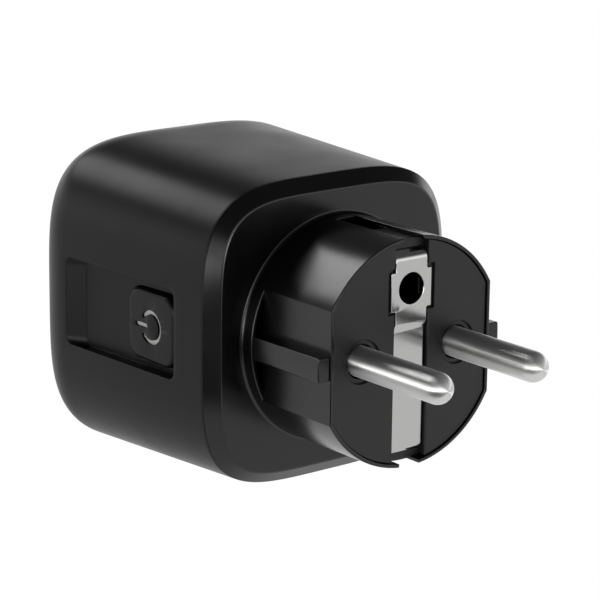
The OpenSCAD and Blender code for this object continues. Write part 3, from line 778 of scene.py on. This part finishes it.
class PLUG_OT_housing(bpy.types.Operator):
    """Models the housing with its end rounding, its side pocket and the button's hole"""

    bl_idname = "plug.housing"
    bl_label = "Housing"

    def execute(self, context):
        body = Body()
        bm = bmesh.new()
        wall, power, steps = body.wall, body.square, 18
        mouth = context.scene.plug_socket.well / MM + 1.0

        def station(y, inset=0.0):
            return y, squircle(body.half_at(y) - inset, power, y)

        outside = []
        for k in range(steps, 0, -1):
            turn = radians(90 * k / steps)
            y = body.nose_y - body.nose_length * sin(turn)
            half = body.wide - body.nose_in * (1 - cos(turn))
            outside.append((y, squircle(half, power, y)))
        outside.append(station(body.nose_y))
        outside += [station(body.seam_y - back) for back in (3.4, 2.4, 1.4, 0.8)]
        outside += [
            station(body.seam_y - back, inset) for back, inset in rounding(body.edge, 3)
        ]
        outer = body_skin(bm, body, outside, 0.0, 0.0, 0.0, 0.07, 0.06)
        back = body.socket_y + 2.6
        inside = [station(y, wall) for y in (back, body.socket_y + 4, body.socket_y + 5)]
        inside += [station(y, wall) for y in (body.seam_y - 3.4, body.seam_y)]
        inner = body_skin(bm, body, inside, wall, 1.1, 1.2, 0.3, 0.2)
        bridge(bm, outer[1], inner[1])
        # the socket's mouth
        ring = outer[0]
        for aside, drop in rounding(0.2, 3):
            ring = grow(bm, ring, ring_points(mouth + aside, body.socket_y + drop))
        ring = grow(bm, ring, ring_points(mouth, back))
        bridge(bm, ring, inner[0])
        # the button's hole
        ring, floor = outer[2], outer[3]
        for aside, drop in rounding(0.12, 3):
            outline = body.button_hole(body.gap + aside)
            ring = grow(bm, ring, [floor(p, -drop) for p in outline])
        ring = grow(bm, ring, [inner[3](p, 0) for p in body.button_hole(body.gap)])
        bridge(bm, ring, inner[2])
        piece("housing_shell", bm, "body", finish("housing"), ["housing"])
        return {"FINISHED"}


# Rear cover and plug -----------------------------------------------------------------------


class PLUG_OT_rear_cover(bpy.types.Operator):
    """Models the rear cover: its chamfered plate, the plug's collar and the spigot inside"""

    bl_idname = "plug.rear_cover"
    bl_label = "Rear cover"

    def execute(self, context):
        s = context.scene.plug_cover
        body = Body()
        plate, plate_y, power = s.plate / MM, -s.plate_back / MM, s.plate_square
        radius, foot, edge = s.radius / MM, s.foot / MM, s.edge / MM
        top, seam_y = -s.flat_length / MM, body.seam_y
        inner = radius - s.shell / MM
        rim = body.seam
        loops = []
        for share in (0, 1 / 3, 2 / 3, 1):
            bevel = 0.1 * share
            loops.append(squircle(rim - 0.12 + bevel, body.square, seam_y - 0.1 + bevel))
        run, rise = rim - plate, plate_y - seam_y
        slope = sqrt(run * run + rise * rise)
        for share in (0.04, 0.3, 0.6, 0.9):
            blend = body.square + (power - body.square) * share
            loops.append(squircle(rim - 0.02 - run * share, blend, seam_y + rise * share))
        for share in (0, 1 / 3, 2 / 3, 1):
            lead, flat = 0.25 * (1 - share) ** 2, 0.25 * share**2
            half = plate + run / slope * lead - flat
            loops.append(squircle(half, power, plate_y - rise / slope * lead))
        flat_edge = loops[-1]
        start_ring = ring_points(radius + foot, plate_y)
        loops += [between(flat_edge, start_ring, share) for share in (0.35, 0.7)]
        loops += [ring_points(radius + aside, plate_y + drop) for aside, drop in rounding(foot, 4)]
        loops += [ring_points(radius - aside, top - up) for up, aside in rounding(edge, 3)]
        under, spigot_y = plate_y - PLATE_THICK, seam_y - SPIGOT_LENGTH
        loops += [ring_points(inner, top), ring_points(inner, under)]
        out = rim - body.wall - 0.1
        for half, y in (
            (out - 1.2, under),
            (out - 1.2, spigot_y + 0.1),
            (out - 1.1, spigot_y),
            (out - 0.2, spigot_y),
            (out, spigot_y + 0.2),
            (out, seam_y - 0.05),
            (rim - 0.2, seam_y - 0.05),
        ):
            loops.append(squircle(half, body.square, y))
        bm = bmesh.new()
        first, last = grow_all(bm, loops)
        bridge(bm, last, first)
        piece("rear_cover_plate", bm, "body", finish("cover"), ["rear_cover"])
        return {"FINISHED"}


class PLUG_OT_plug_shell(bpy.types.Operator):
    """Models the plug's shell: two halves with a flat and a rib each, and a slot between them"""

    bl_idname = "plug.plug_shell"
    bl_label = "Plug shell"

    def execute(self, context):
        s = context.scene.plug_cover
        radius, flat, edge = s.radius / MM, s.flat / MM, s.edge / MM
        inner, flat_in = radius - s.shell / MM, flat - s.shell / MM
        slot, rib, back = s.slot / 2 / MM, s.rib / 2 / MM, -s.flat_length / MM - 0.2
        outer_turn, inner_turn = degrees(acos(flat / radius)), degrees(acos(flat_in / inner))
        top = degrees(acos(slot / radius))
        top_in = degrees(acos(slot / inner))
        outline = arc((0, 0), radius, outer_turn, top, 28)
        outline += arc((0, 0), inner, top_in, inner_turn, 26)
        outline += arc((0, 0), inner, -inner_turn, -top_in, 26)
        outline += arc((0, 0), radius, -top, -outer_turn, 28)
        outline = soften(outline, 0.12, 3)
        rib_points = [Vector((flat - 0.3, -rib))]
        rib_turn = degrees(asin_of(rib / (radius - 0.1)))
        rib_points += arc((0, 0), radius - 0.1, -rib_turn, rib_turn, 6)
        rib_points += [Vector((flat - 0.3, rib))]
        bm = bmesh.new()
        for side in (1, -1):
            turned = Matrix.Rotation(0 if side > 0 else pi, 3, "Z")
            place = lambda p, y: across(turned @ Vector((p[0], p[1], 0)), y)
            slab(bm, outline, [], place, 0.0, back, edge)
            slab(bm, soften(rib_points, 0.25, 3), [], place, -s.lip / MM, back, edge)
        piece("plug_shell", bm, "body", finish("cover"))
        return {"FINISHED"}


def asin_of(value):
    return atan2(value, sqrt(max(0.0, 1 - value * value)))


class PLUG_OT_plug_face(bpy.types.Operator):
    """Models the plug's face: two halves with stepped pin seats and a channel for the strap"""

    bl_idname = "plug.plug_face"
    bl_label = "Plug face"

    def execute(self, context):
        s, m = context.scene.plug_cover, context.scene.plug_metal
        radius = s.radius / MM - s.shell / MM - 0.05
        flat, face = s.flat / MM - s.shell / MM - 0.05, -s.lip / MM
        channel, pin, pitch = s.channel / 2 / MM, m.pin / MM, m.pitch / 2 / MM
        height = m.hole_height / MM
        turn, top = degrees(acos(flat / radius)), degrees(acos(channel / radius))
        recess = 4.6
        recess_low, recess_high = height - 3.6, height + 3.4
        back = CARRIER_LOW.y
        half = arc((0, 0), radius, turn, top, 24)
        half += [
            Vector((channel, recess_high)),
            Vector((recess, recess_high)),
            Vector((recess, recess_low)),
            Vector((channel, recess_low)),
        ]
        half += arc((0, 0), radius, -top, -turn, 24)
        half = soften(half, 0.15, 3)
        mirrored = [Vector((-p[0], p[1])) for p in reversed(half)]
        bm = bmesh.new()
        for side, outline in ((1, half), (-1, mirrored)):
            seat = circle((side * pitch, 0), pin + 1.0)
            slab(bm, outline, [seat], across, face, FACE_BACK, 0.2)
            step = circle((side * pitch, 0), pin + 1.1)
            hole = circle((side * pitch, 0), pin + 0.28)
            slab(bm, step, [hole], across, face - 0.4, FACE_BACK, 0.1)
            shelf = [
                Vector((side * channel, recess_low - 0.1)),
                Vector((side * (recess + 0.1), recess_low - 0.1)),
                Vector((side * (recess + 0.1), recess_high + 0.1)),
                Vector((side * channel, recess_high + 0.1)),
            ]
            if side < 0:
                shelf.reverse()
            slab(bm, shelf, [], across, face - 0.55, FACE_BACK, 0.05)
        base = arc((0, 0), radius, turn, 180 - turn, 60)
        base += arc((0, 0), radius, 180 + turn, 360 - turn, 60)
        holes = [circle((x, 0), pin + 0.95) for x in (-pitch, pitch)]
        guide = GUIDE_HIGH.x + 0.1
        low, high = GUIDE_LOW.z - 0.1, GUIDE_HIGH.z + 0.1
        holes.append(rectangle(-guide, low, guide, high))
        slab(bm, base, holes, across, FACE_BACK + 0.15, back, 0.05)
        piece("plug_face", bm, "body", finish("face"), ["plug_carrier"])
        return {"FINISHED"}


class PLUG_OT_pins(bpy.types.Operator):
    """Models the two round pins with their domed ends"""

    bl_idname = "plug.pins"
    bl_label = "Pins"

    def execute(self, context):
        m = context.scene.plug_metal
        r, end = m.pin / MM, PIN_HIGH.y
        tail, tail_r, shoulder_r = PIN_LOW.y, 1.5, 3.3
        root_y, carrier_y = -4.0, CARRIER_LOW.y
        profile = [(0, tail), (tail_r - 0.2, tail), (tail_r, tail + 0.2), (tail_r, carrier_y)]
        profile += [(shoulder_r, carrier_y), (shoulder_r, root_y - 0.1)]
        profile += [(shoulder_r - 0.1, root_y), (r, root_y)]
        profile += [(r, root_y + 1 + k * (end - r - root_y - 1) / 4) for k in range(5)]
        profile += [
            (r * cos(radians(90 * k / 16)), end - r + r * sin(radians(90 * k / 16)))
            for k in range(1, 16)
        ]
        profile += [(0, end)]
        for node, side in (("live_pin", 1), ("neutral_pin", -1)):
            bm = bmesh.new()
            lathe(bm, profile, (side * m.pitch / 2 / MM, 0))
            piece(node + "_turned", bm, "body", finish("pin"), [node])
        return {"FINISHED"}


class PLUG_OT_earth_strap(bpy.types.Operator):
    """Models the earth strap, stamped flat and then bent, with its hole and tabs"""

    bl_idname = "plug.earth_strap"
    bl_label = "Earth strap"

    def execute(self, context):
        m = context.scene.plug_metal
        half, thick, hole = m.strap / 2 / MM, m.strap_thick / MM, m.hole / MM
        height, front = m.hole_height / MM, STRAP_HIGH.y
        leg_z, bends, step = STRAP_HIGH.z, {1: 2.0, -1: 1.0}, 0.5
        leg_length = 13.0
        joggle_high, joggle_length, tab_thick = 4.8, 1.6, 0.3
        straight = {sign: leg_z - bend for sign, bend in bends.items()}
        reach = {
            sign: straight[sign] + bend * pi / 2 + leg_length - bend for sign, bend in bends.items()
        }
        tab, tab_low, tab_high = half + 0.9, height - 3.3, height + 2.8
        right = [
            Vector((half, -reach[-1])),
            Vector((half, tab_low)),
            Vector((tab, tab_low)),
            Vector((tab, tab_high)),
            Vector((half, tab_high)),
            Vector((half, reach[1])),
        ]
        outline = right + [Vector((-p[0], p[1])) for p in reversed(right)]
        bm = bmesh.new()
        slab(
            bm,
            soften(outline, 0.25, 4),
            [circle((0, height), hole, 72)],
            across,
            0.0,
            -thick,
            0.12,
            back_edge=0.08,
        )
        cuts = [
            sign * (straight[sign] + bend * pi / 2 * k / 10)
            for sign, bend in bends.items()
            for k in range(11)
        ]
        cuts += [joggle_high - joggle_length * k / 10 for k in range(11)]
        for z in cuts:
            bmesh.ops.bisect_plane(
                bm,
                geom=bm.verts[:] + bm.edges[:] + bm.faces[:],
                plane_co=(0, 0, z),
                plane_no=(0, 0, 1),
                dist=1e-5,
            )
        for v in bm.verts:
            x, y, z = v.co
            sign = 1 if z >= 0 else -1
            bend, start = bends[sign], straight[sign]
            run = abs(z) - start
            if abs(x) > half + 0.05 and y < -tab_thick:
                y = (y + tab_thick) * 0.1 - tab_thick
            if run > 0:
                turn = min(run / bend, pi / 2)
                beyond = max(0.0, run - bend * pi / 2)
                radius = bend + y
                v.co = (x, radius * cos(turn) - bend - beyond, sign * (start + radius * sin(turn)))
            else:
                v.co = (x, y, z)
            share = min(1.0, max(0.0, (joggle_high - z) / joggle_length))
            v.co.y += front - step * share * share * (3 - 2 * share)
        piece("earth_strap_bent", bm, "body", finish("strap"), ["earth_strap"])
        return {"FINISHED"}


class PLUG_OT_earth_guide(bpy.types.Operator):
    """Models the square guide behind the earth hole"""

    bl_idname = "plug.earth_guide"
    bl_label = "Earth guide"

    def execute(self, context):
        low, high = GUIDE_LOW, GUIDE_HIGH
        outline = rectangle(low.x, low.z, high.x, high.z)
        inner = offset(outline, -0.6)
        bm = bmesh.new()
        first = first_loop(bm, [across(p, high.y - 0.15) for p in outline])
        loop = grow(bm, first, [across(p, low.y) for p in outline])
        cap(bm, [loop], Vector((0, -1, 0)))
        ring = grow(bm, first, [across(p, high.y) for p in offset(outline, -0.15)])
        ring = grow(bm, ring, [across(p, high.y) for p in offset(inner, 0.15)])
        ring = grow(bm, ring, [across(p, high.y - 0.15) for p in inner])
        ring = grow(bm, ring, [across(p, low.y + 0.6) for p in inner])
        cap(bm, [ring], Vector((0, 1, 0)))
        piece("earth_guide_box", bm, "body", finish("cover"), ["earth_guide"])
        return {"FINISHED"}


# Button ------------------------------------------------------------------------------------


def symbol_outlines(centre, radius, stroke, open_by):
    """The power symbol's ring and bar as flat outlines in Y and Z."""
    middle, end = radius - stroke / 2, 180 - open_by
    tip = lambda turn: (
        centre[0] + middle * cos(radians(turn)),
        centre[1] + middle * sin(radians(turn)),
    )
    ring = arc(centre, radius, -end, end, 72)
    ring += arc(tip(end), stroke / 2, end, end + 180, 10)[1:-1]
    ring += arc(centre, radius - stroke, end, -end, 72)
    ring += arc(tip(-end), stroke / 2, -end + 180, -end + 360, 10)[1:-1]
    near, far = centre[0] - radius * 0.4375, centre[0] - radius * 1.3125
    bar = arc((near, centre[1]), stroke / 2, -90, 90, 12)
    bar += arc((far, centre[1]), stroke / 2, 90, 270, 12)
    return ring, bar


class PLUG_OT_button(bpy.types.Operator):
    """Models the button's cap with its sunk power symbol, and the insert that shows in it"""

    bl_idname = "plug.button"
    bl_label = "Button"

    def execute(self, context):
        s = context.scene.plug_button
        body = Body()
        face, flange = CAP_HIGH.x, CAP_LOW.x + 0.8
        edge, sunk = s.edge / MM, s.sunk / MM
        centre = (body.button_y, 0.0)
        ring, bar = symbol_outlines(centre, s.ring / MM, s.stroke / MM, 42.0)

        def outline(grow_by):
            half = body.button_length / 2 + grow_by
            return rounded_rectangle(
                body.button_y - half,
                body.button_y + half,
                body.button_height / 2 + grow_by,
                body.button_corner + grow_by,
                side=28,
            )

        bm = bmesh.new()
        loops = []
        for aside, drop in rounding(edge, 5):
            loops.append([sideways(p, face - drop) for p in outline(-aside)])
        loops.append([sideways(p, flange) for p in outline(0)])
        loops.append([sideways(p, flange) for p in outline(0.75)])
        loops.append([sideways(p, flange - 0.8) for p in outline(0.75)])
        first, last = grow_all(bm, loops)
        tops = [first]
        for points in (ring, bar):
            sides = []
            for aside, drop in rounding(0.06, 2):
                sides.append([sideways(p, face - drop) for p in offset(points, aside)])
            sides.append([sideways(p, face - sunk - 0.5) for p in points])
            top, bottom = grow_all(bm, sides)
            tops.append(top)
            cap(bm, [bottom], Vector((1, 0, 0)))
        cap(bm, tops, Vector((1, 0, 0)))
        cap(bm, [last], Vector((-1, 0, 0)))
        piece("button_cap_moulded", bm, "button", finish("housing"), ["button_cap"])
        bm = bmesh.new()
        for points in (ring, bar):
            slab(bm, offset(points, -0.01), [], sideways, face - sunk, face - sunk - 0.45, 0.05, 2)
        piece("symbol_insert", bm, "button", finish("symbol"), ["light_guide"])
        return {"FINISHED"}


# Socket ------------------------------------------------------------------------------------


class PLUG_OT_socket(bpy.types.Operator):
    """Models the socket's well with its floor, guide ribs and pin holes"""

    bl_idname = "plug.socket"
    bl_label = "Socket"

    def execute(self, context):
        s, c, m = context.scene.plug_socket, context.scene.plug_cover, context.scene.plug_metal
        well, hole, pitch = s.well / MM, s.hole / MM, m.pitch / 2 / MM
        mouth_y = WELL_LOW.y
        floor_y = mouth_y + s.depth / MM
        back_y, out = floor_y + 2.0, well + 0.9
        clip, clip_y, notch = 2.9, mouth_y + 3.4, 15.0
        steps = 192
        # the ring in front of the clips' slots
        loops = [ring_points(out, clip_y, steps), ring_points(out, mouth_y + 0.15, steps)]
        loops.append(ring_points(out - 0.15, mouth_y, steps))
        for aside, drop in rounding(0.25, 4):
            loops.append(ring_points(well + aside, mouth_y + drop, steps))
        loops.append(ring_points(well, clip_y, steps))
        bm = bmesh.new()
        first, last = grow_all(bm, loops)
        bridge(bm, last, first)
        # the wall behind it, in two halves
        up_out, up_in = degrees(acos(clip / out)), degrees(acos(clip / well))
        for half_turn in (0, 180):
            wall = arc((0, 0), out, half_turn - up_out, half_turn + up_out, 80)
            wall += arc((0, 0), well, half_turn + up_in, half_turn - up_in, 80)
            slab(bm, wall, [], outwards, -(clip_y - 0.01), -(back_y - 0.5), 0.02, 1)
        # the floor with its holes and the clips' notches
        floor = arc((0, 0), out, -up_out, up_out, 80)
        floor += [Vector((clip, notch)), Vector((-clip, notch))]
        floor += arc((0, 0), out, 180 - up_out, 180 + up_out, 80)
        floor += [Vector((-clip, -notch)), Vector((clip, -notch))]
        holes = [circle((x, 0), hole, 72) for x in (-pitch, pitch)]
        slab(bm, floor, holes, outwards, -floor_y, -back_y, 0.3, 4)
        # four guide ribs for the plug's flats
        flat = c.flat / MM + 0.5
        for x in (-1, 1):
            for z in (-1, 1):
                middle = z * (c.rib / 2 / MM + 1.7)
                rib = [
                    Vector((x * flat, middle - 0.9)),
                    Vector((x * (well + 0.3), middle - 0.9)),
                    Vector((x * (well + 0.3), middle + 0.9)),
                    Vector((x * flat, middle + 0.9)),
                ]
                if x < 0:
                    rib.reverse()
                slab(bm, soften(rib, 0.3), [], outwards, -(mouth_y + 2), -(floor_y + 0.2), 0.25, 4)
        piece("socket_well_moulded", bm, "body", finish("housing"), ["socket_well"])
        return {"FINISHED"}


# Pieces that keep their frame shape --------------------------------------------------------

FRAME_FINISHES = {
    "shutter": "white",
    "shutter_spring": "steel",
    "contact_block": "white",
    "live_contact": "copper",
    "neutral_contact": "copper",
    "earth_clips": "strap",
    "earth_link": "brass",
    "main_board": "board",
    "board_screws": "steel",
    "live_bus_bar": "copper",
    "neutral_bus_bar": "copper",
    "relay": "relay",
    "film_capacitor": "amber",
    "electrolytic_capacitors": "sleeve",
    "inductor": "ferrite",
    "varistor": "varistor",
    "fuse_resistor": "resistor",
    "current_shunt": "copper",
    "board_chips": "chip",
    "wifi_board": "radio_board",
    "wifi_shield": "tin",
    "button_board": "board",
    "switch_body": "chip",
    "switch_plunger": "white",
    "indicator_led": "lamp",
}


class PLUG_OT_inner_pieces(bpy.types.Operator):
    """Gives the pieces that keep their frame shape a finish each"""

    bl_idname = "plug.inner_pieces"
    bl_label = "Inner pieces"

    def execute(self, context):
        for node, kind in FRAME_FINISHES.items():
            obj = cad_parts[node]
            obj.data.materials.clear()
            obj.data.materials.append(finish(kind))
        return {"FINISHED"}


# Stage -------------------------------------------------------------------------------------


def sheet(name, width_height, turn, at, material):
    """A flat sheet of the stage, in metres, turned about Z."""
    bm = bmesh.new()
    bmesh.ops.create_grid(bm, x_segments=2, y_segments=2, size=0.5)
    bmesh.ops.scale(bm, vec=(*width_height, 1), verts=bm.verts)
    bmesh.ops.rotate(bm, matrix=Matrix.Rotation(radians(turn), 3, "Z"), verts=bm.verts)
    bmesh.ops.translate(bm, verts=bm.verts, vec=at)
    mesh = bpy.data.meshes.new(name)
    bm.to_mesh(mesh)
    bm.free()
    mesh.materials.append(material)
    obj = bpy.data.objects.new(name, mesh)
    bpy.context.scene.collection.objects.link(obj)
    return obj


def light(name, at, to, wide, high, power):
    data = bpy.data.lights.new(name, "AREA")
    data.shape, data.size, data.size_y, data.energy = "RECTANGLE", wide, high, power
    obj = bpy.data.objects.new(name, data)
    obj.location = at
    obj.rotation_euler = (Vector(to) - Vector(at)).to_track_quat("-Z", "Y").to_euler()
    bpy.context.scene.collection.objects.link(obj)
    return obj


class PLUG_OT_stage(bpy.types.Operator):
    """Makes the pale floor, the soft studio light and the camera"""

    bl_idname = "plug.stage"
    bl_label = "Stage"

    def execute(self, context):
        scene = context.scene
        low = CAD_BOX[0]
        material, tree, shader, place = new_material("lit_white_acrylic", linear("#303030"), 0.9)
        grain(tree, shader, place, 0.4, 0.01, 0.85, 0.95, 30.0)
        shader.inputs["Specular IOR Level"].default_value = 0.0
        shader.inputs["Emission Color"].default_value = (1.0, 1.0, 1.0, 1.0)
        shader.inputs["Emission Strength"].default_value = 1.0
        sheet("studio_floor", (6.0, 6.0), 0, (0, 0, low.z - 0.0001), material)

        # hidden from the camera: it only darkens what the rear cover's chamfer reflects
        material, tree, shader, place = new_material("matt_black_card", linear("#0A0A0A"), 0.9)
        grain(tree, shader, place, 0.4, 0.01, 0.85, 0.95, 30.0)
        card = sheet("black_card", (0.14, 0.24), -40, (0.125, 0.105, low.z + 0.0004), material)
        card.visible_camera = False

        world = bpy.data.worlds.new("Studio")
        scene.world = world
        world.use_nodes = True
        tree = world.node_tree
        background = next(n for n in tree.nodes if n.type == "BACKGROUND")
        place = add_node(tree, "ShaderNodeTexCoord")
        split = add_node(tree, "ShaderNodeSeparateXYZ", {"Vector": place.outputs["Generated"]})
        ramp = add_node(tree, "ShaderNodeValToRGB", {"Fac": split.outputs["Z"]})
        for element, height, grey in zip(ramp.color_ramp.elements, (0.18, 0.37), (1, 0.06)):
            element.position, element.color = height, (grey, grey, grey, 1)
        tree.links.new(ramp.outputs["Color"], background.inputs["Color"])
        background.inputs["Strength"].default_value = 1.7

        light("back_softbox", (0.2, -0.72, 0.58), (0, -0.03, 0), 0.5, 0.4, 3.2)
        light("side_strip", (0.26, 0.03, 0.0), (0.02, -0.02, 0), 0.3, 0.05, 0.25)
        light("front_strip", (0.0, 0.3, 0.0), (0, -0.02, 0), 0.12, 0.05, 0.16)

        camera_data = bpy.data.cameras.new("camera")
        camera_data.lens, camera_data.sensor_width = 152.85, 36.0
        camera_data.clip_start, camera_data.clip_end = 0.01, 20.0
        camera = bpy.data.objects.new("camera", camera_data)
        scene.collection.objects.link(camera)
        place_camera(camera)
        scene.camera = camera
        scene.view_settings.view_transform = "Standard"
        return {"FINISHED"}


def place_camera(camera):
    """Puts the camera where it looks along the plug from the front right and a little above."""
    azimuth, elevation, roll = radians(38.675), radians(14.634), radians(0.651)
    target, distance = Vector((22.243, 0.0, 12.201)) * MM, 370.766 * MM
    back = Vector((sin(azimuth) * cos(elevation), cos(azimuth) * cos(elevation), sin(elevation)))
    right = back.cross(Vector((0, 0, 1))) * -1
    right.normalize()
    up = back.cross(right)
    side = right * cos(roll) + up * sin(roll)
    top = up * cos(roll) - right * sin(roll)
    aim = (-back + side * 0.000667 - top * 0.001335).normalized()
    side = aim.cross(top).normalized()
    top = side.cross(aim)
    turn = Matrix((side, top, -aim)).transposed().to_4x4()
    camera.matrix_world = Matrix.Translation(target + back * distance) @ turn


class PLUG_PT_sidebar(bpy.types.Panel):
    """Lists the smart plug's sizes, colours and builders"""

    bl_idname = "PLUG_PT_sidebar"
    bl_label = "Smart plug"
    bl_space_type = "VIEW_3D"
    bl_region_type = "UI"
    bl_category = "Smart plug"

    def draw(self, context):
        layout = self.layout
        for name in GROUPS:
            group = getattr(context.scene, name)
            box = layout.box()
            for key in group.__annotations__:
                box.prop(group, key)
        for operator in OPERATORS:
            layout.operator(operator.bl_idname)


GROUPS = {
    "plug_body": PlugBodySizes,
    "plug_cover": PlugCoverSizes,
    "plug_metal": PlugMetalSizes,
    "plug_button": PlugButtonSizes,
    "plug_socket": PlugSocketSizes,
    "plug_colours": PlugColours,
}
OPERATORS = (
    PLUG_OT_housing,
    PLUG_OT_rear_cover,
    PLUG_OT_plug_shell,
    PLUG_OT_plug_face,
    PLUG_OT_pins,
    PLUG_OT_earth_strap,
    PLUG_OT_earth_guide,
    PLUG_OT_button,
    PLUG_OT_socket,
    PLUG_OT_inner_pieces,
    PLUG_OT_stage,
)


def register():
    for name, group in GROUPS.items():
        bpy.utils.register_class(group)
        setattr(bpy.types.Scene, name, PointerProperty(type=group))
    for operator in OPERATORS:
        bpy.utils.register_class(operator)
    bpy.utils.register_class(PLUG_PT_sidebar)


def unregister():
    bpy.utils.unregister_class(PLUG_PT_sidebar)
    for operator in reversed(OPERATORS):
        bpy.utils.unregister_class(operator)
    for name, group in reversed(GROUPS.items()):
        delattr(bpy.types.Scene, name)
        bpy.utils.unregister_class(group)


def main():
    register()
    for operator in OPERATORS:
        family, name = operator.bl_idname.split(".")
        getattr(getattr(bpy.ops, family), name)()


if __name__ == "__main__":
    main()
